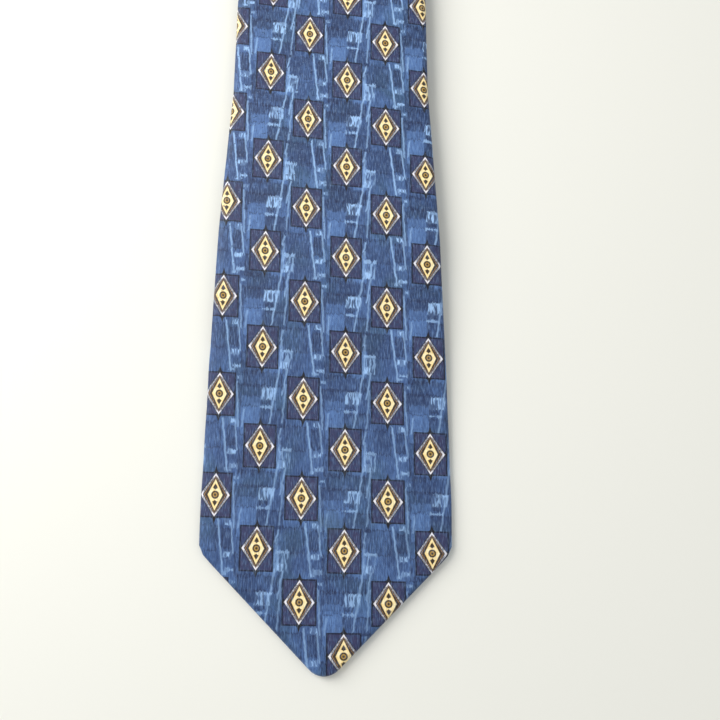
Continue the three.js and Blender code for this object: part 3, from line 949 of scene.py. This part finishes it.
def new_piece(name, mesh, material, wall=0.0, offset=-1.0):
    """A piece from a bmesh, with its material, and with a wall where one is asked for."""
    data = bpy.data.meshes.new(name)
    mesh.to_mesh(data)
    mesh.free()
    data.materials.append(material)
    piece = bpy.data.objects.new(name, data)
    bpy.context.scene.collection.objects.link(piece)
    if wall:
        solid = piece.modifiers.new("wall", "SOLIDIFY")
        solid.thickness = wall * MM
        solid.offset = offset
        plain_mesh(piece)
    piece.data.shade_smooth()
    piece.data.set_sharp_from_angle(angle=math.radians(60))
    return piece


def quads(points, places):
    """A grid of quads through rows of points, with each point's place on the flat cloth in its UV map."""
    mesh = bmesh.new()
    layer = mesh.loops.layers.uv.new("cloth")
    verts = [[mesh.verts.new(point) for point in row] for row in points]
    for j in range(len(verts) - 1):
        for i in range(len(verts[0]) - 1):
            corners = [(j, i), (j, i + 1), (j + 1, i + 1), (j + 1, i)]
            face = mesh.faces.new([verts[a][b] for a, b in corners])
            for loop, (a, b) in zip(face.loops, corners):
                loop[layer].uv = places[a][b]
    bmesh.ops.remove_doubles(mesh, verts=mesh.verts, dist=0.002 * MM)
    bmesh.ops.dissolve_degenerate(mesh, edges=mesh.edges, dist=0.001 * MM)
    return mesh


def tube(name, material, rows, low, high, opening, trim=0.0, slant=None, plump=None, ripple=0.0, wall=0.0):
    """A flat tube along the tie, from z = low to z = high. opening, slant and plump are rules of s.

    Returns the piece, the size of its flat cloth and the area of that cloth.
    """
    points, places = [], []
    widest = area = 0.0
    centre = (low + high) / 2
    for number, s in enumerate(rows):
        fill = plump(s) if plump else 1.0
        lean = slant(s) if slant else 0.0
        deep = (high - low) / 2 * fill
        half = max(0.0, half_width(s) - trim)
        side = section(half, opening(s), centre - deep, centre + deep)
        line, flat = [], []
        for x, z, u in [(-x, z, -u) for x, z, u in reversed(side[1:])] + side:
            share = abs(x) / half if half else 1.0
            if z > centre:
                z += rippled(x, s, ripple) * (1 - share ** 6) * fill
                z -= min(ripple, 0.5) * share ** 4 * (z - centre) / max(deep, 0.01)
            edge_noise = noise.noise(Vector((math.copysign(5, x), s * 0.04, 9)))
            wander = EDGE_WANDER * ripple * share * edge_noise
            at = s + lean * x
            spare = FOLD_SPARE * min(1.0, max(0.0, (at - FOLD_FROM) / FOLD_CLOTH))
            line.append(laid(x + math.copysign(wander, x) if half else x, at, z))
            flat.append((u * MM, (at + spare) * MM))
        points.append(line)
        places.append(flat)
        cloth_width = 2 * side[-1][2]
        widest = max(widest, cloth_width)
        if number:
            area += cloth_width * (s - rows[number - 1])
    mesh = quads(points, places)
    if not wall:
        open_edges = [edge for edge in mesh.edges if edge.is_boundary]
        bmesh.ops.holes_fill(mesh, edges=open_edges, sides=0)
    piece = new_piece(name, mesh, material, wall)
    length = rows[-1] - rows[0]
    print(name, "faces:", len(piece.data.polygons), "flat, mm:", round(widest), "by", round(length))
    return piece, (widest * MM, length * MM), area * MM * MM


print("dents reach", round(1 / RIPPLE_ACROSS), "mm across and", round(1 / RIPPLE_ALONG), "mm along")

# %% [markdown]
# The silk is three lengths, joined by slanting seams: the blade, the neck and the tail. Each length
# is turned in a little at a seam, which leaves the fine valley that a real one shows. Behind each
# point the back opens like a kite.

# %% Silk
BLADE_SEAM = 690.0
TAIL_SEAM = 1010.0
SEAM_HALF_GAP = 0.25
BIAS_REACH = 70.0
SLIT = 0.22
WALL = 0.5
RIPPLE = 0.55
NEAR_SEAM = 8
FOLD_ROWS = 16
KITES = [
    # place along the tie, half the opening in the back
    (0, -4.8), (44.3, 39.5), (150, SLIT), (1375, SLIT), (1450.7, 14.5), (1465.2, 0),
]


def slant_at(s):
    """How far the rows lean: fully at the slanting seams, and not at all away from them."""
    near = min(abs(s - BLADE_SEAM), abs(s - TAIL_SEAM))
    return 1 - smooth(near, 0, BIAS_REACH)


def back_opening(s):
    """Half the opening in the back: a kite behind each point, and a fine slit along the rest."""
    return max(0.0, straight(s, *KITES))


def plump_at(s):
    """How full the tube is: it closes at the two points and turns in at the seams."""
    from_end = max(0.0, min(s, TAIL_POINT - s))
    seam = min(abs(s - BLADE_SEAM), abs(s - TAIL_SEAM))
    full = 1 - 0.1 * (1 - smooth(seam, 0.2, 3.0))
    if from_end < THICK / 2:
        full *= math.sqrt(max(0.0, 1 - (1 - from_end / (THICK / 2)) ** 2))
    return full


turned_in = [0.2, 1.0, 2.0, 4.0]


def before(seam):
    return [seam - SEAM_HALF_GAP - d for d in reversed(turned_in)]


def after(seam):
    return [seam + SEAM_HALF_GAP + d for d in turned_in]


blade_rows = rows_between(0, BLADE_SEAM - NEAR_SEAM, 3.5, fine_start=True)
front_rows = rows_between(BLADE_SEAM + NEAR_SEAM, FOLD_FROM, 5)
fold_rows = [FOLD_FROM + FOLD_CLOTH * i / FOLD_ROWS for i in range(1, FOLD_ROWS + 1)]
rear_rows = rows_between(FOLD_TO, TAIL_SEAM - NEAR_SEAM, 5)[1:]
tail_rows = rows_between(TAIL_SEAM + NEAR_SEAM, TAIL_POINT, 4, fine_stop=True)
silk_rows = {
    "blade_silk": blade_rows + before(BLADE_SEAM),
    "neck_silk": after(BLADE_SEAM) + front_rows + fold_rows + rear_rows + before(TAIL_SEAM),
    "tail_silk": after(TAIL_SEAM) + tail_rows,
}

silk = {}
for name, rows in silk_rows.items():
    silk[name] = tube(name, SILK, rows, 0, THICK, back_opening, 0, slant_at, plump_at, RIPPLE, WALL)
for name, body, nodes in (
    ("blade_silk", "blade_half", ["blade_shell"]),
    ("tail_silk", "tail_half", ["tail_shell"]),
    ("neck_silk", None, ["neck_shell_front", "neck_shell_rear"]),
):
    piece, flat, area = silk[name]
    if body:
        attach(piece, body)
    else:
        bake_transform(piece)
    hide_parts(*nodes)

# %% [markdown]
# Inside the silk lies the wool that gives a tie its body, and a satin lining closes each end of the
# back. Both have to be whole pieces, because they show through the kite opening and along the slit.
# They lie in layers of their own, a few tenths of a millimetre apart.

# %% Wool and lining
INSIDE_TRIM = 2.1
INSIDE_START = 4.5
INSIDE_GAP = 0.3
WOOL_LAYER = (1.6, 2.9)
SATIN_LAYER = (0.9, 1.3)
BLADE_SATIN_TO = 175
TAIL_SATIN_LENGTH = 120
inside_stop = TAIL_POINT - INSIDE_START
tail_satin_from = TAIL_POINT - TAIL_SATIN_LENGTH


def inner(name, node, material, slot, body, rows, layer):
    piece, flat, area = tube(name, material, rows, *layer, lambda s: 0.0, INSIDE_TRIM)
    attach(piece, body)
    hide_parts(node)


for name, node, body, rows in (
    ("blade_wool", "blade_interlining", "blade_half", rows_between(INSIDE_START, FOLD_FROM - INSIDE_GAP, 6)),
    ("tail_wool", "tail_interlining", "tail_half", rows_between(FOLD_TO + INSIDE_GAP, inside_stop, 6)),
):
    inner(name, node, WOOL, "interlining_wool", body, rows, WOOL_LAYER)
for name, node, body, rows in (
    ("blade_lining", "blade_tipping", "blade_half", rows_between(INSIDE_START, BLADE_SATIN_TO, 3)),
    ("tail_lining", "tail_tipping", "tail_half", rows_between(tail_satin_from, inside_stop, 3)),
):
    inner(name, node, SATIN, "tipping_satin", body, rows, SATIN_LAYER)

# %% [markdown]
# ## Keeper and labels
# The keeper is a band of the same silk across the back, and the two labels are short woven ribbons.
# They are strips of quads with a wall, because a ribbon has no more shape than that. A strip follows
# a path across the tie, and its flat size is the path's own length by its length along the tie.


# %% Strips of ribbon
STRIP_STEPS = 8


def strip(name, material, path, start, stop, wall, flat_from, crown=0.0):
    """A ribbon along a path of (x, z) points, from s = start to s = stop. Returns it and its flat size."""
    lengths = [0.0]
    for (x0, z0), (x1, z1) in zip(path, path[1:]):
        lengths.append(lengths[-1] + math.hypot(x1 - x0, z1 - z0))
    points, places = [], []
    for j in range(STRIP_STEPS + 1):
        s = start + (stop - start) * j / STRIP_STEPS
        dip = crown * (2 * j / STRIP_STEPS - 1) ** 4
        points.append([Vector((x, s - BLADE_TO_MIDDLE, z + dip)) * MM for x, z in path])
        places.append([((far + flat_from) * MM, s * MM) for far in lengths])
    piece = new_piece(name, quads(points, places), material, wall, 0.0)
    print(name, "flat, mm:", round(lengths[-1], 1), "by", round(stop - start, 1))
    return piece, (lengths[-1] * MM, (stop - start) * MM)


def span(node, axis):
    """The lowest and highest place of a node along an axis, in millimetres."""
    low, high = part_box(node)
    return low[axis] / MM, high[axis] / MM


def along_tie(node):
    return [place + BLADE_TO_MIDDLE for place in span(node, 1)]


print("the keeper runs from", [round(place) for place in along_tie("keeper_loop")], "mm along the tie")

# %% [markdown]
# The keeper's two ends are sewn flat to the back. From there the band falls in a soft curve and runs
# across with a slight bow, which leaves the room that the tail slides through. Its edges are pressed
# a little thinner than its middle.

# %% Keeper
KEEPER_WALL = 0.45
KEEPER_INSET = 0.25
SEWN_END_TO = 28.6
FALL_FROM = 28.2
FALL_TO = 23.0
HALF_RUN = 22.0
BOW = 0.35
FALL_STEPS = 8
RUN_STEPS = 16

keeper_low, keeper_high = span("keeper_loop", 2)
top = keeper_high - KEEPER_INSET
bottom = keeper_low + KEEPER_INSET
side = [(span("keeper_loop", 0)[1], top), (SEWN_END_TO, top)]
for i in range(FALL_STEPS + 1):
    share = i / FALL_STEPS
    fallen = (1 - math.cos(share * math.pi)) / 2
    side.append((FALL_FROM + (FALL_TO - FALL_FROM) * share, top + (bottom - top) * fallen))
run = []
for i in range(RUN_STEPS + 1):
    across = 1 - 2 * i / RUN_STEPS
    run.append((HALF_RUN * across, bottom + BOW * (1 - across ** 2)))
path = side + run + [(-x, z) for x, z in reversed(side)]
keeper, flat = strip("keeper_band", SILK, path[::-1], *along_tie("keeper_loop"), KEEPER_WALL, 4, -0.1)
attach(keeper, "blade_half")
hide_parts("keeper_loop")

# %% [markdown]
# The maker's label is sewn down all round, and the care label only along one edge, so that it turns
# on a body of its own. Both get a faint wave, because a small ribbon keeps the curl of its reel. No
# words are woven in them.

# %% Labels
LABEL_WAVE = 0.06

for name, node, material, body, wall, slot in (
    ("maker_ribbon", "maker_label", LABEL, "blade_half", 0.4, "label_weave"),
    ("care_ribbon", "care_label", CARE, "care_label_flap", 0.25, "care_satin"),
):
    half = span(node, 0)[1]
    level = sum(span(node, 2)) / 2
    path = [(half * (i / 10 - 1), level + LABEL_WAVE * math.sin(i * 0.9)) for i in range(21)]
    ribbon, flat = strip(name, material, path, *along_tie(node), wall, 0.0)
    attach(ribbon, body)
    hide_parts(node)

# %% [markdown]
# ## Stitches
# A stitch repeats along a line, which is work for Geometry Nodes. The path is a mesh of edges, and
# each of its points carries the direction that is up from the cloth there. The tree spreads points
# along the path and puts one arched thread on each. Turned by a quarter, the same stitches make a bar
# tack.


# %% Tree: stitch row
def spun(tree, curve, thickness, sides):
    """A yarn of so many sides swept along a curve, closed at its ends."""
    ring = tree.nodes.new("GeometryNodeCurvePrimitiveCircle")
    ring.inputs["Resolution"].default_value = sides
    tree.links.new(maths(tree, "MULTIPLY", thickness, 0.5), ring.inputs["Radius"])
    yarn = tree.nodes.new("GeometryNodeCurveToMesh")
    yarn.inputs["Fill Caps"].default_value = True
    tree.links.new(curve, yarn.inputs["Curve"])
    tree.links.new(ring.outputs["Curve"], yarn.inputs["Profile Curve"])
    return yarn.outputs["Mesh"]


def finished(tree, geometry, material):
    """The end of a tree: its instances made real, with their material."""
    real = tree.nodes.new("GeometryNodeRealizeInstances")
    paint = tree.nodes.new("GeometryNodeSetMaterial")
    tree.links.new(geometry, real.inputs["Geometry"])
    tree.links.new(real.outputs["Geometry"], paint.inputs["Geometry"])
    tree.links.new(material, paint.inputs["Material"])
    return paint.outputs["Geometry"]


def stitch_tree():
    takes = [("Path", "g"), ("Thread", "f"), ("Step", "f"), ("Length", "f"), ("Rise", "f")]
    takes += [("Turn", "f"), ("Looseness", "f"), ("Seed", "i"), ("Material", "m")]
    tree, takes, gives = new_group("Stitch row", takes, [("Stitches", "g")], "GeometryNodeTree")
    new, link = tree.nodes.new, tree.links.new

    curve = new("GeometryNodeMeshToCurve")
    link(takes["Path"], curve.inputs["Mesh"])
    dots = new("GeometryNodeCurveToPoints")
    dots.mode = "LENGTH"
    link(curve.outputs["Curve"], dots.inputs["Curve"])
    link(takes["Step"], dots.inputs["Length"])

    arch = new("GeometryNodeCurveQuadraticBezier")
    arch.inputs["Resolution"].default_value = 6
    half = maths(tree, "MULTIPLY", takes["Length"], 0.5)
    link(combined(tree, maths(tree, "MULTIPLY", half, -1.0), 0.0), arch.inputs["Start"])
    link(combined(tree, 0.0, 0.0, maths(tree, "MULTIPLY", takes["Rise"], 2.0)), arch.inputs["Middle"])
    link(combined(tree, half, 0.0), arch.inputs["End"])
    yarn = spun(tree, arch.outputs["Curve"], takes["Thread"], 6)

    chance = new("FunctionNodeRandomValue")
    chance.data_type = "FLOAT"
    link(maths(tree, "MULTIPLY", takes["Looseness"], -1.0), chance.inputs[2])
    link(takes["Looseness"], chance.inputs[3])
    link(takes["Seed"], chance.inputs["Seed"])
    up = new("GeometryNodeInputNamedAttribute")
    up.data_type = "FLOAT_VECTOR"
    up.inputs["Name"].default_value = "up"
    ahead = new("FunctionNodeAlignRotationToVector")
    ahead.axis = "X"
    link(dots.outputs["Tangent"], ahead.inputs["Vector"])
    level = new("FunctionNodeAlignRotationToVector")
    level.axis = "Z"
    level.pivot_axis = "X"
    link(ahead.outputs["Rotation"], level.inputs["Rotation"])
    link(up.outputs["Attribute"], level.inputs["Vector"])
    spin = new("FunctionNodeRotateRotation")
    spin.rotation_space = "LOCAL"
    link(level.outputs["Rotation"], spin.inputs["Rotation"])
    angle = maths(tree, "ADD", takes["Turn"], chance.outputs[1])
    link(combined(tree, 0.0, 0.0, angle), spin.inputs["Rotate By"])

    place = new("GeometryNodeInstanceOnPoints")
    link(dots.outputs["Points"], place.inputs["Points"])
    link(yarn, place.inputs["Instance"])
    link(spin.outputs["Rotation"], place.inputs["Rotation"])
    link(finished(tree, place.outputs["Instances"], takes["Material"]), gives["Stitches"])
    return tree


STITCH_ROW = stitch_tree()
print("stitch row nodes:", len(STITCH_ROW.nodes))

# %% [markdown]
# A loose thread is the same yarn without the repeat: a second, smaller tree sweeps a circle along the
# whole path. It makes the spare loops that hang at both ends of the slip stitch, and the lines sewn
# along the slanting seams.


# %% Tree: whole thread
def thread_tree():
    takes = [("Path", "g"), ("Thread", "f"), ("Material", "m")]
    tree, takes, gives = new_group("Whole thread", takes, [("Yarn", "g")], "GeometryNodeTree")
    curve = tree.nodes.new("GeometryNodeMeshToCurve")
    tree.links.new(takes["Path"], curve.inputs["Mesh"])
    yarn = spun(tree, curve.outputs["Curve"], takes["Thread"], 8)
    tree.links.new(finished(tree, yarn, takes["Material"]), gives["Yarn"])
    return tree


WHOLE_THREAD = thread_tree()


def sewn(name, node, body, tree, path, up, closed=False, **sizes):
    """Thread along a path of points, in place of a CAD node. up is the way away from the cloth."""
    data = bpy.data.meshes.new(name)
    ends = [(i, i + 1) for i in range(len(path) - 1)] + ([(len(path) - 1, 0)] if closed else [])
    data.from_pydata(path, ends, [])
    way_up = data.attributes.new("up", "FLOAT_VECTOR", "POINT")
    for point in way_up.data:
        point.vector = up
    piece = bpy.data.objects.new(name, data)
    bpy.context.scene.collection.objects.link(piece)
    modifier = piece.modifiers.new("sewing", "NODES")
    modifier.node_group = tree
    for socket in tree.interface.items_tree:
        if socket.in_out == "INPUT" and socket.name.lower() in sizes:
            modifier[socket.identifier] = sizes[socket.name.lower()]
        if socket.in_out == "INPUT" and socket.name == "Material":
            modifier[socket.identifier] = THREAD
    plain_mesh(piece)
    piece.data.shade_smooth()
    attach(piece, body)
    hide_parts(node)
    print(name, "faces:", len(piece.data.polygons))


print("whole thread nodes:", len(WHOLE_THREAD.nodes))

# %% [markdown]
# The slip stitch closes the back. It is hand sewn, so its stitches lean from side to side and are a
# little uneven. A bar tack holds each end, and a loop of spare thread lets the silk move on its
# lining.

# %% Slip stitch, tacks and spare loops
DOWN = Vector((0, 0, -1))
UP = Vector((0, 0, 1))
MAIN_THREAD = 0.4 * MM
FINE_THREAD = 0.32 * MM
SEWN_FROM = 153
SEWN_TO = 1372
SEWN_FOLD_GAP = 3
SEWN_DEPTH = 0.12
SLIP_STITCH = {"step": 5.5 * MM, "length": 3.6 * MM, "rise": 0.12 * MM, "turn": 0.45, "looseness": 0.2}
BAR_TACK = {"step": 0.42 * MM, "rise": 0.07 * MM, "turn": math.pi / 2 - 0.12, "looseness": 0.1, "seed": 8}
TACK_MARGIN = 0.1 * MM
TACK_POINTS = 10
LOOP_POINTS = 40


def tie_line(start, stop, z, step=4.0):
    count = max(1, round(abs(stop - start) / step))
    return [laid(0, start + (stop - start) * i / count, z) for i in range(count + 1)]


for name, node, body, start, stop, up, seed in (
    ("blade_slip_stitches", "blade_slip_stitch", "blade_half", SEWN_FROM, FOLD_FROM - SEWN_FOLD_GAP, DOWN, 3),
    ("tail_slip_stitches", "tail_slip_stitch", "tail_half", FOLD_TO + SEWN_FOLD_GAP, SEWN_TO, UP, 5),
):
    path = tie_line(start, stop, SEWN_DEPTH)
    sewn(name, node, body, STITCH_ROW, path, up, thread=MAIN_THREAD, seed=seed, **SLIP_STITCH)

for name, node, body, up in (
    ("blade_tack", "blade_bar_tack", "blade_half", DOWN),
    ("tail_tack", "tail_bar_tack", "tail_half", UP),
    ("keeper_left_tack", "keeper_tack_left", "blade_half", DOWN),
    ("keeper_right_tack", "keeper_tack_right", "blade_half", DOWN),
    ("care_tack", "care_label_stitch", "blade_half", DOWN),
):
    low, high = (Vector(corner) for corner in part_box(node))
    size = high - low
    long_way = 0 if size.x > size.y else 1
    reach = Vector((0, 0, 0))
    reach[long_way] = size[long_way] / 2 - FINE_THREAD / 2
    start = (low + high) / 2 - reach
    path = [start + 2 * reach * i / TACK_POINTS for i in range(TACK_POINTS + 1)]
    across = size[1 - long_way] - TACK_MARGIN
    sewn(name, node, body, STITCH_ROW, path, up, thread=FINE_THREAD, length=across, **BAR_TACK)

for name, node, body in (
    ("blade_spare_loop", "blade_spare_thread", "blade_half"),
    ("tail_spare_loop", "tail_spare_thread", "tail_half"),
):
    low, high = (Vector(corner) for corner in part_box(node))
    half_across = (high.x - low.x - MAIN_THREAD) / 2
    half_long = (high.y - low.y - MAIN_THREAD) / 2
    path = []
    for i in range(LOOP_POINTS):
        angle = math.tau * i / LOOP_POINTS
        x = half_across * math.sin(angle) * math.sin(angle / 2) ** 1.4
        path.append((low + high) / 2 + Vector((x, half_long * math.cos(angle), 0)))
    sewn(name, node, body, WHOLE_THREAD, path, UP, closed=True, thread=MAIN_THREAD)

# %% [markdown]
# The seams that join the three lengths of silk run at a slant round the whole tie, so each is one
# thread sunk in its valley. The maker's label has a running stitch all round.

# %% Seams and label stitching
SEAM_TRIM = 0.75
SEAM_SUNK = 0.55
SEAM_OPENING = SLIT + 0.5
RUNNING_STITCH = {"step": 2.3 * MM, "length": 1.7 * MM, "rise": 0.08 * MM, "turn": 0.0, "looseness": 0.05}
STITCH_INSET = 0.35 * MM
SIDE_POINTS = 12

for name, node, body, seam in (
    ("blade_seam_line", "blade_seam_thread", "blade_half", BLADE_SEAM),
    ("tail_seam_line", "tail_seam_thread", "tail_half", TAIL_SEAM),
):
    side = section(half_width(seam) - SEAM_TRIM, SEAM_OPENING, SEAM_SUNK, THICK - SEAM_SUNK)
    around = [(-x, z) for x, z, _ in reversed(side[1:])] + [(x, z) for x, z, _ in side]
    path = [laid(x, seam + x, z) for x, z in around]
    sewn(name, node, body, WHOLE_THREAD, path, UP, thread=FINE_THREAD)

low, high = (Vector(corner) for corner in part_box("maker_label_stitching"))
left, right = low.x + STITCH_INSET, high.x - STITCH_INSET
near, far = low.y + STITCH_INSET, high.y - STITCH_INSET
level = (low.z + high.z) / 2
ring = [Vector((x, y, level)) for x, y in ((left, near), (right, near), (right, far), (left, far))]
path = []
for start, stop in zip(ring, ring[1:] + ring[:1]):
    path += [start.lerp(stop, i / SIDE_POINTS) for i in range(SIDE_POINTS)]
sewn("maker_ribbon_stitches", "maker_label_stitching", "blade_half", STITCH_ROW, path, DOWN, closed=True,
     thread=FINE_THREAD, seed=2, **RUNNING_STITCH)

# %% Finish
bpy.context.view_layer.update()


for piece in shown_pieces():
    zs = [v.co.z for v in piece.data.vertices] if piece.type == "MESH" else [0.0]
    print(piece.name, "from", round(min(zs) / MM, 2), "to", round(max(zs) / MM, 2), "mm above the table")
